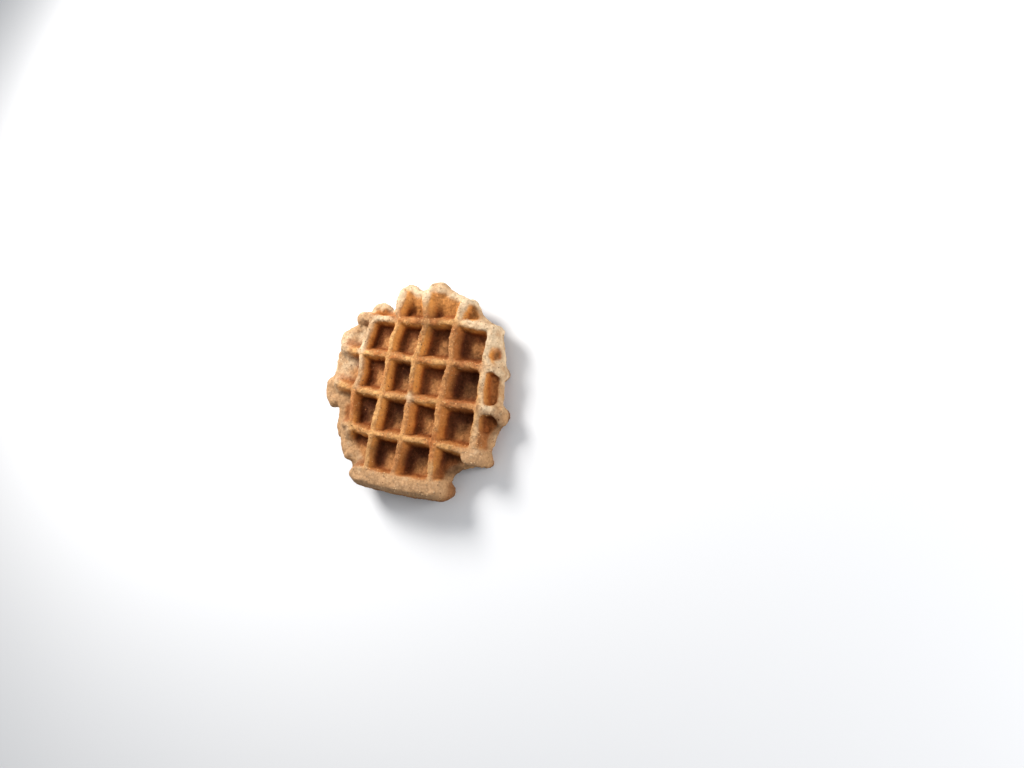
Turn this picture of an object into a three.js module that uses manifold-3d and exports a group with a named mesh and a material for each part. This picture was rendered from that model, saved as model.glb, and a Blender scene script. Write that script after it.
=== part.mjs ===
// A speculoos waffle: one baked solid, with a grid of pockets pressed into both of its faces.
// Millimetres, +Z up. The cross ribs run along x and the upright ribs along y.
// Places on the grid are given in cells, counted from the middle upright and the middle cross rib.
import * as THREE from 'three';
import { mergeVertices } from 'three/addons/utils/BufferGeometryUtils.js';
import { TessellateModifier } from 'three/addons/modifiers/TessellateModifier.js';
import Module from 'manifold-3d';

// Driving sizes
const CELL_X = 16.5; // from one upright rib to the next
const CELL_Y = 17.5; // from one cross rib to the next
const POCKET_DEPTH = 5.4; // from a rib's top to a pocket's floor, on either face
const WEB = 3.2; // dough left between the upper and the lower pockets
const RIB_HALF_TOP = 1.3; // half the width of a rib's flat top
const WALL_RUN = 2.0; // how far a pocket wall leans in on its way down
const ARCH_RISE = 5; // the waffle has set slightly arched along x
const FOOT_TRIM = 0.5; // pressed off the lowest rib ends, so that the waffle lies on small flats

// Sizes that follow
const HALF_THICK = WEB / 2 + POCKET_DEPTH;
const SHOULDER = 0.5; // rounding of a rib's top corners
const KNOB_SIDES = 12;
const KNOB_RINGS = 8;
const KNOB_SQUARE = 0.7; // 1 gives a rib's free end an elliptic outline, and less a squarer one
const WEB_ROUND = 1.4; // rounding of the thin outer edge between the rib ends
const WEB_POINTS = 72;
const LONGEST_SIDE = 15; // of a triangle, so that the faces follow the arch
const ARCH_CENTRE = -0.35 * CELL_X;
const ARCH_HALF = 3.2 * CELL_X;
const WELD = 1e-4;
const TOLERANCE = 0.04; // slivers left by the joins and thinner than this are closed up

const BAKED = { color: 0xb9783c, roughness: 0.78, metalness: 0 };

// Cross ribs: the line they lie on, then their left and right ends, in cells
const CROSS_RIBS = [
  { line: 2, ends: [-2.42, 1.9] },
  { line: 1, ends: [-2.88, 2.32] },
  { line: 0, ends: [-3.18, 2.45] },
  { line: -1, ends: [-2.5, 2.2] },
  { line: -2, ends: [-1.72, 1.36] },
];

// Upright ribs: their line, then their near and far ends
const UPRIGHT_RIBS = [
  { line: -2, ends: [-1.2, 2.05] },
  { line: -1, ends: [-2.1, 2.6] },
  { line: 0, ends: [-2.1, 2.7] },
  { line: 1, ends: [-2.1, 2.5] },
  { line: 2, ends: [-1.2, 2.0] },
];

// Raised edges and filled corners where the dough ran out between two ribs: a path in cells, half a top's width
const EDGE_SWELLS = [
  { path: [[-1.7, -2.13], [1.3, -2.13]], half: 2.1 }, // broad near edge
  { path: [[1.88, -1.22], [2.18, -1.22]], half: 3.2 }, // blunt near right corner
  { path: [[1.86, -1.42], [1.5, -1.9]], half: 1.4 }, // slanting edge from there to the near edge
  { path: [[2.1, -0.04], [2.5, -0.09]], half: 2.3 },
  { path: [[2.05, 0.98], [2.32, 0.95]], half: 2.2 },
  { path: [[1.86, 2.0], [2.0, 1.78], [2.03, 1.4]], half: 2.2 }, // rounded far right corner
  { path: [[1.02, 2.48], [1.3, 2.36], [1.72, 2.08]], half: 1.2 },
  { path: [[-0.02, 2.86], [0.24, 2.9], [0.6, 2.7], [1.0, 2.5]], half: 1.6 }, // far edge
  { path: [[0, 2.1], [-0.22, 2.64]], half: 1.3 },
  { path: [[-0.98, 2.2], [-0.9, 2.64], [-0.58, 2.7]], half: 1.5 },
  { path: [[-1.98, 2.16], [-1.64, 2.18]], half: 1.2 },
  { path: [[-2.02, -1.1], [-2.12, -1.5]], half: 1.8 }, // left end of the near row
];

// Outer edge of the thin web, in cells, anticlockwise from the right end of the middle cross rib
const WEB_EDGE = [
  [2.46, 0.0], [2.42, 0.45], [2.3, 0.85], [2.24, 1.45], [2.15, 1.9], [1.72, 2.18],
  [1.36, 2.46], [0.95, 2.66], [0.45, 2.86], [0.1, 2.98], [-0.3, 2.74], [-0.7, 2.8],
  [-1.12, 2.66], [-1.24, 2.36], [-1.5, 2.22], [-1.84, 2.32], [-2.14, 2.14], [-2.46, 1.86],
  [-2.82, 1.62], [-3.08, 1.36], [-2.98, 0.9], [-3.02, 0.5], [-3.22, 0.12], [-3.24, -0.3],
  [-2.78, -0.5], [-2.6, -0.9], [-2.36, -1.36], [-2.12, -1.66], [-1.76, -1.84], [-1.76, -2.2],
  [-0.9, -2.32], [0.6, -2.34], [1.38, -2.22], [1.56, -1.88], [1.86, -1.56], [2.3, -1.36],
  [2.36, -0.95], [2.32, -0.55],
];

// Sets a place in cells to millimetres
function place([across, up]) {
  return new THREE.Vector2(across * CELL_X, up * CELL_Y);
}

// How far the arched waffle hangs below its crown at x
function archDrop(x) {
  const turn = THREE.MathUtils.clamp((x - ARCH_CENTRE) / ARCH_HALF, -1, 1) * Math.PI;
  return ARCH_RISE * (1 - Math.cos(turn)) / 2;
}

// Bends a flat geometry, centred on z = 0, into the arch
function arched(geometry) {
  const position = geometry.getAttribute('position');
  for (let i = 0; i < position.count; i += 1) {
    position.setZ(i, position.getZ(i) - archDrop(position.getX(i)));
  }
  return geometry;
}

// Half of a rib's cross-section, from the middle of its top round to the middle of its underside
function halfProfile(halfTop, halfHeight) {
  const foot = halfTop + WALL_RUN;
  return [
    new THREE.Vector2(0, halfHeight),
    new THREE.Vector2(halfTop - SHOULDER, halfHeight),
    new THREE.Vector2(halfTop, halfHeight - SHOULDER),
    new THREE.Vector2(foot, WEB / 2),
    new THREE.Vector2(foot, -WEB / 2),
    new THREE.Vector2(halfTop, SHOULDER - halfHeight),
    new THREE.Vector2(halfTop - SHOULDER, -halfHeight),
    new THREE.Vector2(0, -halfHeight),
  ];
}

// Half of the outline of a rib's free end, which is rounder than the rib
function roundProfile(halfTop, halfHeight) {
  const profile = [];
  for (let i = 0; i <= KNOB_RINGS; i += 1) {
    const turn = Math.PI * (i / KNOB_RINGS - 0.5);
    const out = Math.abs(Math.cos(turn)) ** KNOB_SQUARE;
    const up = Math.sign(turn) * Math.abs(Math.sin(turn)) ** KNOB_SQUARE;
    profile.push(new THREE.Vector2(i % KNOB_RINGS ? (halfTop + WALL_RUN) * out : 0, halfHeight * up));
  }
  return profile;
}

// The round end of a rib, or the round joint in a bent one
function knob(centre, halfTop, halfHeight, free) {
  const profile = free ? roundProfile(halfTop, halfHeight) : halfProfile(halfTop, halfHeight).reverse();
  const geometry = new THREE.LatheGeometry(profile, KNOB_SIDES);
  geometry.rotateX(Math.PI / 2);
  geometry.translate(centre.x, centre.y, 0);
  return geometry;
}

// A straight length of rib between two places
function ribLength(from, to, halfTop, halfHeight) {
  const half = halfProfile(halfTop, halfHeight);
  const mirrored = half.slice(1, -1).reverse().map((p) => new THREE.Vector2(-p.x, p.y));
  const length = from.distanceTo(to);
  const geometry = new THREE.ExtrudeGeometry(new THREE.Shape([...half, ...mirrored]), {
    depth: length,
    bevelEnabled: false,
  });
  // The section is drawn in x and y and extruded along z: stand it up, then turn it to its heading
  geometry.rotateX(Math.PI / 2);
  geometry.rotateZ(Math.atan2(to.y - from.y, to.x - from.x) + Math.PI / 2);
  geometry.translate(from.x, from.y, 0);
  return geometry;
}

// Every geometry of a rib that follows a path, with a knob at each of its places
function ribAlong(path, halfTop, halfHeight) {
  const places = path.map(place);
  const pieces = places.map((centre, i) => knob(
    centre, halfTop, halfHeight, i === 0 || i === places.length - 1));
  for (let i = 1; i < places.length; i += 1) {
    pieces.push(ribLength(places[i - 1], places[i], halfTop, halfHeight));
  }
  return pieces;
}

// The thin sheet between the pockets, out to its uneven edge
function web() {
  const edge = new THREE.CatmullRomCurve3(WEB_EDGE.map((p) => {
    const { x, y } = place(p);
    return new THREE.Vector3(x, y, 0);
  }), true);
  const outline = edge.getSpacedPoints(WEB_POINTS).slice(0, -1).map((p) => new THREE.Vector2(p.x, p.y));
  const geometry = new THREE.ExtrudeGeometry(new THREE.Shape(outline), {
    depth: WEB - 2 * WEB_ROUND,
    bevelThickness: WEB_ROUND,
    bevelSize: WEB_ROUND,
    bevelOffset: -WEB_ROUND,
    bevelSegments: 2,
  });
  geometry.translate(0, 0, WEB_ROUND - WEB / 2);
  return geometry;
}

// A block that covers all below z = 0
function ground(reach) {
  const geometry = new THREE.BoxGeometry(2 * reach, 2 * reach, reach);
  geometry.translate(0, 0, -reach / 2);
  return geometry;
}

const wasm = await Module();
wasm.setup();

function toManifold(geometry) {
  const bare = new THREE.BufferGeometry();
  bare.setAttribute('position', geometry.getAttribute('position'));
  if (geometry.index) {
    bare.setIndex(geometry.index);
  }
  const welded = mergeVertices(bare, WELD);
  const mesh = new wasm.Mesh({
    numProp: 3,
    vertProperties: Float32Array.from(welded.getAttribute('position').array),
    triVerts: Uint32Array.from(welded.index.array),
  });
  return new wasm.Manifold(mesh);
}

function toGeometry(solid) {
  const mesh = solid.getMesh();
  const geometry = new THREE.BufferGeometry();
  geometry.setAttribute('position', new THREE.BufferAttribute(Float32Array.from(mesh.vertProperties), 3));
  geometry.setIndex(new THREE.BufferAttribute(Uint32Array.from(mesh.triVerts), 1));
  return geometry;
}

// The whole waffle, lying on z = 0 with its bounding box centred on x = 0, y = 0
function waffleGeometry() {
  const crossRibs = CROSS_RIBS.flatMap(({ line, ends }) => ribAlong(
    ends.map((end) => [end, line]), RIB_HALF_TOP, HALF_THICK));
  const uprightRibs = UPRIGHT_RIBS.flatMap(({ line, ends }) => ribAlong(
    ends.map((end) => [line, end]), RIB_HALF_TOP, HALF_THICK));
  const swells = EDGE_SWELLS.flatMap(({ path, half }) => ribAlong(path, half, HALF_THICK));

  let solid = toManifold(web());
  for (const piece of [...crossRibs, ...uprightRibs, ...swells]) {
    solid = solid.add(toManifold(piece));
  }
  const flat = toGeometry(solid.asOriginal().simplify(TOLERANCE));
  const bent = arched(new TessellateModifier(LONGEST_SIDE, LONGEST_SIDE).modify(flat));
  bent.computeBoundingBox();
  const { min, max } = bent.boundingBox;
  bent.translate(-(min.x + max.x) / 2, -(min.y + max.y) / 2, -min.z - FOOT_TRIM);
  const trimmed = toManifold(bent).subtract(toManifold(ground(max.x - min.x)));
  return toGeometry(trimmed.asOriginal().simplify(TOLERANCE));
}

const waffle = new THREE.Mesh(waffleGeometry(), new THREE.MeshStandardMaterial(BAKED));
waffle.name = 'waffle';

const part = new THREE.Group();
part.add(waffle);

export default part;
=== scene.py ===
"""A speculoos waffle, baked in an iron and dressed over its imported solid.

The waffle is drawn flat in millimetres as a field of distances from its ribs and its web, meshed,
roughened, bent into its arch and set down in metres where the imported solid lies.
"""
import sys

import logging
import math
from collections.abc import Mapping, Sequence
from dataclasses import dataclass
from enum import IntEnum

import bmesh
import bpy
from bpy.types import ID, Material, Mesh, Node, NodeTree, Object
from bpy.types import NodeSocket as Socket
from mathutils import Matrix, Vector


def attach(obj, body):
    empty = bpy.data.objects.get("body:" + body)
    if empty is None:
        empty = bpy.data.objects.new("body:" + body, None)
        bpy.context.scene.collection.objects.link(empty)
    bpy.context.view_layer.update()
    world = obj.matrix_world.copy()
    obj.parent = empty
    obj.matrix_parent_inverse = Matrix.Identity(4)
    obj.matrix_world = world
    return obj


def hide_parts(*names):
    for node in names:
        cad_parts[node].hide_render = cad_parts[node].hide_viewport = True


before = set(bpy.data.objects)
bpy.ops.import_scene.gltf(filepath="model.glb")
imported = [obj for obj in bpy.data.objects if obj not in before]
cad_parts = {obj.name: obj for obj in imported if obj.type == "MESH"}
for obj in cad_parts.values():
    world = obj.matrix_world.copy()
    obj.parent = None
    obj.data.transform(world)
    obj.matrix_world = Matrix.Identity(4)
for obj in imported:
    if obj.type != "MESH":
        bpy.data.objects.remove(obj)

BODY = "root"
NODE = "waffle"
MM = 0.001
# A Noise Texture seldom swings more than 0.38 either side of its middle
NOISE_SPREAD = 2.6
log = logging.getLogger("waffle")

Pair = tuple[float, float]
Triple = tuple[float, float, float]
Path = Sequence[Pair]
Colour = Triple
Feed = Socket | float | int | str | bool | tuple | None
Feeds = dict[int | str, Feed]
Input = tuple[str, str, object]


@dataclass(frozen=True)
class Iron:
    """Sizes of the waffle iron's grid and of the sheet of dough in it, in millimetres."""

    cell_x: float = 16.5
    cell_y: float = 17.5
    pocket_depth: float = 5.4
    web: float = 3.2
    wall_run: float = 2.0
    arch_rise: float = 5.0
    arch_centre: float = -0.35 * 16.5
    arch_half: float = 3.2 * 16.5
    # Where the crossing of the middle ribs lies in the part's frame
    middle: Triple = (5.11, -6.4875, 11.364)

    @property
    def half_thick(self) -> float:
        """Half of the waffle's full thickness."""
        return self.web / 2 + self.pocket_depth

    def place(self, cells: Pair) -> Vector:
        """Turn a place in cells from the crossing of the middle ribs into flat millimetres."""
        return Vector((cells[0] * self.cell_x, cells[1] * self.cell_y, 0.0))


IRON = Iron()


class Guide(IntEnum):
    """What a guide line or face stands for."""

    RIB = 0
    LIP = 1
    BROAD = 2
    BAR = 3
    SLIM_BEAD = 4
    MID_BEAD = 5
    FAT_BEAD = 6
    WEB = 7
    HOLLOW = 8
    BITE = 9
    BURN = 10
    PALE = 11
    BROWN = 12
    TOAST = 13
    NOTCH = 14


@dataclass(frozen=True)
class Rim:
    """A stretch of the free edge, counter-clockwise.

    It has its path in cells, its bead, if any, and the bead's height in millimetres.
    """

    path: Path
    bead: Guide | None = None
    lift: float = 0.0


# Lines in cells from the crossing of the middle ribs, as the ribs wander from a true grid
LINES: dict[Guide, tuple[Path, ...]] = {
    Guide.RIB: (
        ((-2.12, 1.98), (-1.68, 1.94), (-0.87, 1.93), (0.07, 1.95), (1.0, 2.01), (2.0, 1.96)),
        ((-2.77, 1.12), (-2.05, 1.05), (-0.96, 1.01), (-0.05, 0.97), (1.01, 1.0), (2.03, 1.0)),
        ((-2.8, 0.18), (-2.07, 0.07), (-0.97, 0.0), (-0.02, -0.01), (0.96, -0.02), (2.06, 0.01)),
        ((-2.2, -0.87), (-1.9, -0.91), (-1.05, -1.0), (-0.01, -1.0), (0.95, -1.03), (2.13, -1.11)),
        ((-1.86, 1.92), (-1.95, 1.46), (-2.05, 1.05), (-1.92, 0.55), (-2.07, 0.0), (-1.99, -0.45),
         (-1.92, -0.91), (-1.98, -1.05)),
        ((-0.88, 2.6), (-0.95, 2.21), (-0.87, 1.93), (-0.95, 1.5), (-0.96, 1.0), (-0.97, 0.0), (-1.05, -1.0),
         (-1.02, -2.04)),
        ((-0.06, 2.62), (-0.02, 2.29), (0.07, 1.95), (0.0, 1.45), (-0.05, 0.97), (-0.02, 0.0), (-0.01, -1.0),
         (-0.09, -2.02)),
        ((1.16, 2.55), (1.08, 2.31), (1.0, 2.01), (0.95, 1.54), (1.01, 1.0), (0.95, 0.5), (0.94, -0.5),
         (0.95, -1.03), (0.97, -1.49), (1.07, -1.98)),
        ((2.06, 1.98), (2.04, 1.5), (2.0, 1.0), (2.06, 0.0), (2.11, -0.5), (2.13, -1.11)),
    ),
    # Stretches where the dough swelled a rib's width
    Guide.LIP: (
        ((1.2, 2.01), (1.65, 2.0), (2.02, 1.97)),
        ((2.05, 0.95), (2.06, 0.5), (2.08, 0.0), (2.12, -0.5), (2.12, -1.0)),
        ((-0.88, 2.5), (-0.92, 2.3)),
        ((2.0, 1.94), (2.04, 1.75), (2.05, 1.4), (2.02, 1.05)),
        ((-2.2, 1.98), (-1.8, 1.95)),
    ),
    Guide.BROAD: (
        ((2.06, 0.99), (2.2, 0.96)),
        ((2.1, -0.02), (2.42, -0.06)),
        ((2.1, -0.45), (2.1, -0.95)),
    ),
    Guide.BAR: (
        ((2.02, -1.2), (2.16, -1.21)),
        ((-1.42, -2.06), (-0.6, -2.12), (0.1, -2.14), (0.7, -2.13), (1.17, -2.11)),
    ),
    # Small pockets near the edge, which cut into swells and beads on the upper side
    Guide.HOLLOW: (
        ((2.2, 0.8), (2.23, 0.5), (2.27, 0.21), (2.31, 0.21), (2.28, 0.5), (2.25, 0.8)),
        ((2.26, -0.27), (2.44, -0.26), (2.29, -0.5), (2.27, -0.3)),
        ((-1.6, 2.14), (-1.4, 2.14)),
    ),
    # Free edges that browned like the walls
    Guide.BROWN: (
        ((2.31, -0.42), (2.28, -0.56), (2.26, -0.72), (2.25, -0.9)),
        ((-2.4, -0.42), (-2.36, -0.62)),
        ((1.18, -1.85), (1.22, -1.58), (1.5, -1.36)),
    ),
    # Ribs that toasted darker than the rest
    Guide.TOAST: (
        ((1.0, 1.85), (0.95, 1.5), (1.01, 1.0), (0.95, 0.5), (0.95, 0.15)),
        ((1.15, 1.01), (1.9, 1.0)),
        ((1.05, -0.01), (1.95, 0.0)),
        ((-2.05, -0.05), (-1.99, -0.45)),
        ((0.95, -0.15), (0.94, -0.6), (0.95, -1.35)),
        ((-0.03, -1.15), (-0.08, -1.85)),
        ((-0.02, -0.2), (-0.01, -0.8)),
    ),
    # Ribs that hardly browned
    Guide.PALE: (
        ((-2.2, 1.98), (-1.75, 1.93)),
        ((-1.86, 1.92), (-1.95, 1.46), (-2.05, 1.1)),
        ((-1.96, 0.8), (-1.95, 0.2)),
        ((0.0, 0.02), (0.02, -0.04)),
        ((2.25, 0.95), (2.4, 0.93)),
    ),
}
# Shallow three-cornered notches where a pocket was cut short
NOTCHES: tuple[Path, ...] = (
    ((1.3, 2.45), (1.24, 2.2), (1.47, 2.2)),
    ((2.19, 1.49), (2.15, 1.3), (2.24, 1.3)),
)
# Lower sides that the dough never filled
BITES: tuple[Path, ...] = (
    ((2.5, 1.4), (2.38, 1.85), (2.1, 2.25), (1.65, 2.5), (1.3, 2.75)),
    ((2.76, -0.6), (2.68, -0.75), (2.64, -0.9)),
)
# Where the crust baked darkest, in cells
BURNS: Path = (
    (1.45, 0.6), (1.5, 0.4), (-1.55, -0.45), (-0.45, -0.4), (1.45, -0.4), (1.4, -1.45), (0.4, -1.4),
    (-0.4, 0.65), (0.07, 1.95), (1.5, 1.02), (1.55, 0.0), (1.2, 0.4), (-0.85, -1.5), (0.12, -1.5),
    (2.3, -0.3), (1.16, 0.65), (0.98, 1.6), (1.0, 1.35), (1.5, 0.62), (1.62, 0.5),
)
RIMS = (
    Rim(((2.42, 0.1), (2.4, 0.3), (2.36, 0.5), (2.32, 0.75)), Guide.SLIM_BEAD, 1.0),
    Rim(((2.34, 0.9), (2.31, 0.97)), Guide.MID_BEAD, 1.2),
    Rim(((2.29, 1.16), (2.24, 1.34))),
    Rim(((2.11, 1.58), (1.95, 1.82), (1.79, 2.02)), Guide.SLIM_BEAD, -1.0),
    Rim(((1.65, 2.13), (1.5, 2.21), (1.37, 2.33), (1.27, 2.46), (1.12, 2.57)), Guide.SLIM_BEAD, 1.6),
    Rim(((0.98, 2.61), (0.7, 2.69), (0.45, 2.78)), Guide.SLIM_BEAD, 2.0),
    Rim(((0.27, 2.81), (0.14, 2.85), (0.03, 2.82)), Guide.FAT_BEAD, 1.8),
    Rim(((-0.06, 2.78), (-0.22, 2.72), (-0.4, 2.7)), Guide.SLIM_BEAD, 1.8),
    Rim(((-0.5, 2.72), (-0.67, 2.8), (-0.88, 2.81), (-1.02, 2.72)), Guide.SLIM_BEAD, 2.4),
    Rim(((-1.1, 2.5), (-1.22, 2.24))),
    Rim(((-1.45, 2.11), (-1.6, 2.24), (-1.86, 2.31), (-2.05, 2.24), (-2.09, 2.11)), Guide.SLIM_BEAD, 1.0),
    Rim(((-2.26, 1.97), (-2.48, 1.96)), Guide.FAT_BEAD, 1.7),
    Rim(((-2.54, 1.69), (-2.83, 1.57), (-3.02, 1.46), (-3.04, 1.31)), Guide.MID_BEAD, 0.6),
    Rim(((-2.88, 1.12),)),
    Rim(((-2.98, 0.96), (-3.01, 0.79), (-3.01, 0.57), (-3.03, 0.38)), Guide.MID_BEAD, 0.6),
    Rim(((-3.15, 0.15), (-3.14, -0.08), (-2.98, -0.28)), Guide.FAT_BEAD, 1.4),
    Rim(((-2.66, -0.4), (-2.62, -0.66))),
    Rim(((-2.56, -0.94), (-2.45, -1.08)), Guide.MID_BEAD, 1.2),
    Rim(((-2.23, -1.14), (-2.2, -1.3), (-2.11, -1.46), (-1.99, -1.6)), Guide.FAT_BEAD, 1.6),
    Rim(((-1.88, -1.7), (-1.8, -1.82), (-1.76, -1.95), (-1.5, -2.14), (0.0, -2.24), (1.15, -2.24),
         (1.34, -2.12), (1.32, -1.95))),
    Rim(((1.36, -1.78), (1.45, -1.6), (1.64, -1.46), (1.9, -1.36)), Guide.SLIM_BEAD, 0.4),
    Rim(((2.2, -1.3), (2.28, -1.1), (2.28, -0.94))),
    Rim(((2.34, -0.82), (2.37, -0.66), (2.43, -0.48)), Guide.SLIM_BEAD, 0.4),
    Rim(((2.55, -0.2), (2.52, -0.06)), Guide.FAT_BEAD, 0.6),
)


def smooth_path(points: Sequence[Vector], closed: bool = False, steps: int = 5) -> list[Vector]:
    """Follow points with a Catmull-Rom curve.

    Args:
        points: The points.
        closed: Whether the last point joins the first.
        steps: Points laid per stretch.

    Returns:
        The curve's points.
    """
    count = len(points)

    def knot(index: int) -> Vector:
        """The point of an index, which runs round a closed path and stays within an open one."""
        return points[index % count] if closed else points[max(0, min(count - 1, index))]

    curve = []
    for i in range(count if closed else count - 1):
        a, b, c, d = (knot(i + k) for k in (-1, 0, 1, 2))
        for step in range(steps):
            t = step / steps
            curve.append(0.5 * (2 * b + t * (c - a) + t * t * (2 * a - 5 * b + 4 * c - d)
                                + t ** 3 * (3 * b - a - 3 * c + d)))
    return curve if closed else [*curve, points[-1]]


class Graph:
    """A thin hand for laying nodes in a geometry or shader tree."""

    def __init__(self, tree: NodeTree) -> None:
        """Keep the geometry or shader tree that nodes are added to."""
        self.tree = tree

    def add(self, kind: str, feeds: Feeds | None = None, **settings: object) -> Node:
        """Add a node, set its properties and feed its inputs.

        Args:
            kind: The node's type name.
            feeds: Input index or name to a socket or a plain value; None leaves the input alone.
            **settings: Properties of the node.

        Returns:
            The new node.
        """
        node = self.tree.nodes.new(kind)
        for name, value in settings.items():
            setattr(node, name, value)
        for key, value in (feeds or {}).items():
            if value is not None:
                self.feed(node.inputs[key], value)
        return node

    def get(self, kind: str, feeds: Feeds | None = None, **settings: object) -> Socket:
        """Add a node and give its first output."""
        return self.add(kind, feeds, **settings).outputs[0]

    def feed(self, socket: Socket, value: Feed) -> None:
        """Link a socket into an input, or set the input's own value.

        Args:
            socket: The input.
            value: A socket or a plain value.
        """
        if isinstance(value, Socket):
            self.tree.links.new(value, socket)
        else:
            socket.default_value = value

    def math(self, operation: str, a: Feed, b: Feed = None, c: Feed = None, clamp: bool = False) -> Socket:
        """Add a Math node, whose result is held between 0 and 1 where clamp says so."""
        return self.get("ShaderNodeMath", {0: a, 1: b, 2: c}, operation=operation, use_clamp=clamp)

    def plus(self, a: Feed, b: Feed) -> Socket:
        """Sum of two values."""
        return self.math("ADD", a, b)

    def minus(self, a: Feed, b: Feed) -> Socket:
        """First value less the second."""
        return self.math("SUBTRACT", a, b)

    def times(self, a: Feed, b: Feed) -> Socket:
        """Product of two values."""
        return self.math("MULTIPLY", a, b)

    def line(self, value: Feed, slope: Feed, start: Feed) -> Socket:
        """Value times a slope, plus a start."""
        return self.math("MULTIPLY_ADD", value, slope, start)

    def most(self, a: Feed, b: Feed) -> Socket:
        """Larger of two values."""
        return self.math("MAXIMUM", a, b)

    def least(self, a: Feed, b: Feed) -> Socket:
        """Smaller of two values."""
        return self.math("MINIMUM", a, b)

    def meld(self, a: Feed, b: Feed, rounding: Feed) -> Socket:
        """Larger of two fields, rounded where they meet."""
        return self.math("SMOOTH_MAX", a, b, rounding)

    def carve(self, a: Feed, b: Feed, rounding: Feed) -> Socket:
        """Smaller of two fields, rounded where they meet."""
        return self.math("SMOOTH_MIN", a, b, rounding)

    def vector(self, operation: str, a: Feed, b: Feed = None, scale: Feed = None) -> Socket:
        """Add a Vector Math node, whose result is a value for LENGTH and a vector otherwise."""
        node = self.add("ShaderNodeVectorMath", {0: a, 1: b, "Scale": scale}, operation=operation)
        return node.outputs["Value" if operation == "LENGTH" else "Vector"]

    def scaled(self, vector: Feed, scale: Feed) -> Socket:
        """A vector times a factor."""
        return self.vector("SCALE", vector, scale=scale)

    def parts(self, vector: Socket) -> list[Socket]:
        """X, Y and Z of a vector."""
        return list(self.add("ShaderNodeSeparateXYZ", {0: vector}).outputs)

    def spot(self, x: Feed = None, y: Feed = None, z: Feed = None) -> Socket:
        """A vector made of X, Y and Z."""
        return self.get("ShaderNodeCombineXYZ", {0: x, 1: y, 2: z})

    def noise(self, vector: Socket, scale: float, detail: float = 2.0, rough: float = 0.5,
              shift: Feed = 0.0, output: int = 0) -> Socket:
        """Add a noise, as a factor for output 0 and a colour for 1; shift picks another pattern."""
        feeds = {"Vector": vector, "W": shift, "Scale": scale, "Detail": detail, "Roughness": rough}
        return self.add("ShaderNodeTexNoise", feeds, noise_dimensions="4D").outputs[output]

    def swing(self, vector: Socket, scale: float, reach: Feed, detail: float = 2.0,
              shift: float = 0.0) -> Socket:
        """Noise between minus and plus a reach, nearly."""
        centred = self.minus(self.noise(vector, scale, detail, 0.5, shift), 0.5)
        return self.times(self.times(centred, NOISE_SPREAD), reach)

    def drift(self, here: Socket, scale: float, seed: Feed, reach: Feed) -> Socket:
        """A vector that wanders with the place, by a reach."""
        colour = self.noise(here, scale, 2.0, 0.5, seed, 1)
        return self.scaled(self.vector("SUBTRACT", colour, (0.5, 0.5, 0.5)), reach)

    def cells(self, vector: Socket, scale: float) -> tuple[Socket, Sequence[Socket]]:
        """Split a place into random cells.

        Args:
            vector: The place.
            scale: Cells per unit of length.

        Returns:
            The distance to the nearest cell's middle, and three chances that differ from cell to cell.
        """
        node = self.add("ShaderNodeTexVoronoi", {"Vector": vector, "Scale": scale})
        chances = self.add("ShaderNodeSeparateColor", {0: node.outputs["Color"]})
        return node.outputs["Distance"], chances.outputs

    def ramp(self, value: Feed, low: Feed, high: Feed, to_low: Feed = 0.0, to_high: Feed = 1.0) -> Socket:
        """Smooth step of a value between two bounds, and the results at either."""
        feeds = {"Value": value, "From Min": low, "From Max": high, "To Min": to_low, "To Max": to_high}
        return self.get("ShaderNodeMapRange", feeds, interpolation_type="SMOOTHSTEP")

    def mix(self, share: Feed, a: Feed, b: Feed) -> Socket:
        """Mix two colours by the share of the second."""
        feeds = {0: share, 6: rgba(a), 7: rgba(b)}
        return self.add("ShaderNodeMix", feeds, data_type="RGBA").outputs[2]

    def attribute(self, name: str) -> Socket:
        """A value stored on the mesh, read by a material."""
        return self.add("ShaderNodeAttribute", attribute_name=name).outputs["Fac"]

    def named(self, name: str, kind: str = "FLOAT") -> Socket:
        """A value stored on the mesh, read by a geometry tree."""
        return self.get("GeometryNodeInputNamedAttribute", {"Name": name}, data_type=kind)

    def object_mm(self) -> Socket:
        """Object coordinates in millimetres, read by a material."""
        return self.scaled(self.add("ShaderNodeTexCoord").outputs["Object"], 1 / MM)

    def blurred(self, amount: Socket, kind: str = "FLOAT") -> Socket:
        """Average a field twice with the points around it."""
        feeds = {"Value": amount, "Iterations": 2}
        return self.get("GeometryNodeBlurAttribute", feeds, data_type=kind)

    def stored(self, geometry: Socket, name: str, amount: Socket) -> Socket:
        """Store a value on a geometry's points under a name."""
        feeds = {"Geometry": geometry, "Name": name, "Value": amount}
        return self.get("GeometryNodeStoreNamedAttribute", feeds, data_type="FLOAT", domain="POINT")

    def moved(self, geometry: Socket, position: Feed = None, offset: Feed = None) -> Socket:
        """Move a geometry's points to a position or by an offset."""
        feeds = {"Geometry": geometry, "Position": position, "Offset": offset}
        return self.get("GeometryNodeSetPosition", feeds)

    def finished(self, sink: Node, geometry: Socket, material: Socket) -> None:
        """Smooth a geometry's shading, make it real, dress it and hand it to the tree's output.

        Args:
            sink: The tree's output node.
            geometry: The geometry.
            material: The material.
        """
        smooth = self.get("GeometryNodeSetShadeSmooth", {0: geometry})
        whole = self.get("GeometryNodeRealizeInstances", {0: smooth})
        dressed = self.get("GeometryNodeSetMaterial", {"Geometry": whole, "Material": material})
        self.feed(sink.inputs[0], dressed)


def rgba(colour: Feed) -> Feed:
    """Give a plain three-part colour its alpha, and pass anything else on."""
    return (*colour, 1.0) if isinstance(colour, tuple) and len(colour) == 3 else colour


def srgb(*levels: int) -> Colour:
    """Linear colour of a screen colour, whose red, green and blue run from 0 to 255."""
    shares = [level / 255 for level in levels]
    return tuple(s / 12.92 if s <= 0.04045 else ((s + 0.055) / 1.055) ** 2.4 for s in shares)


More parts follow.
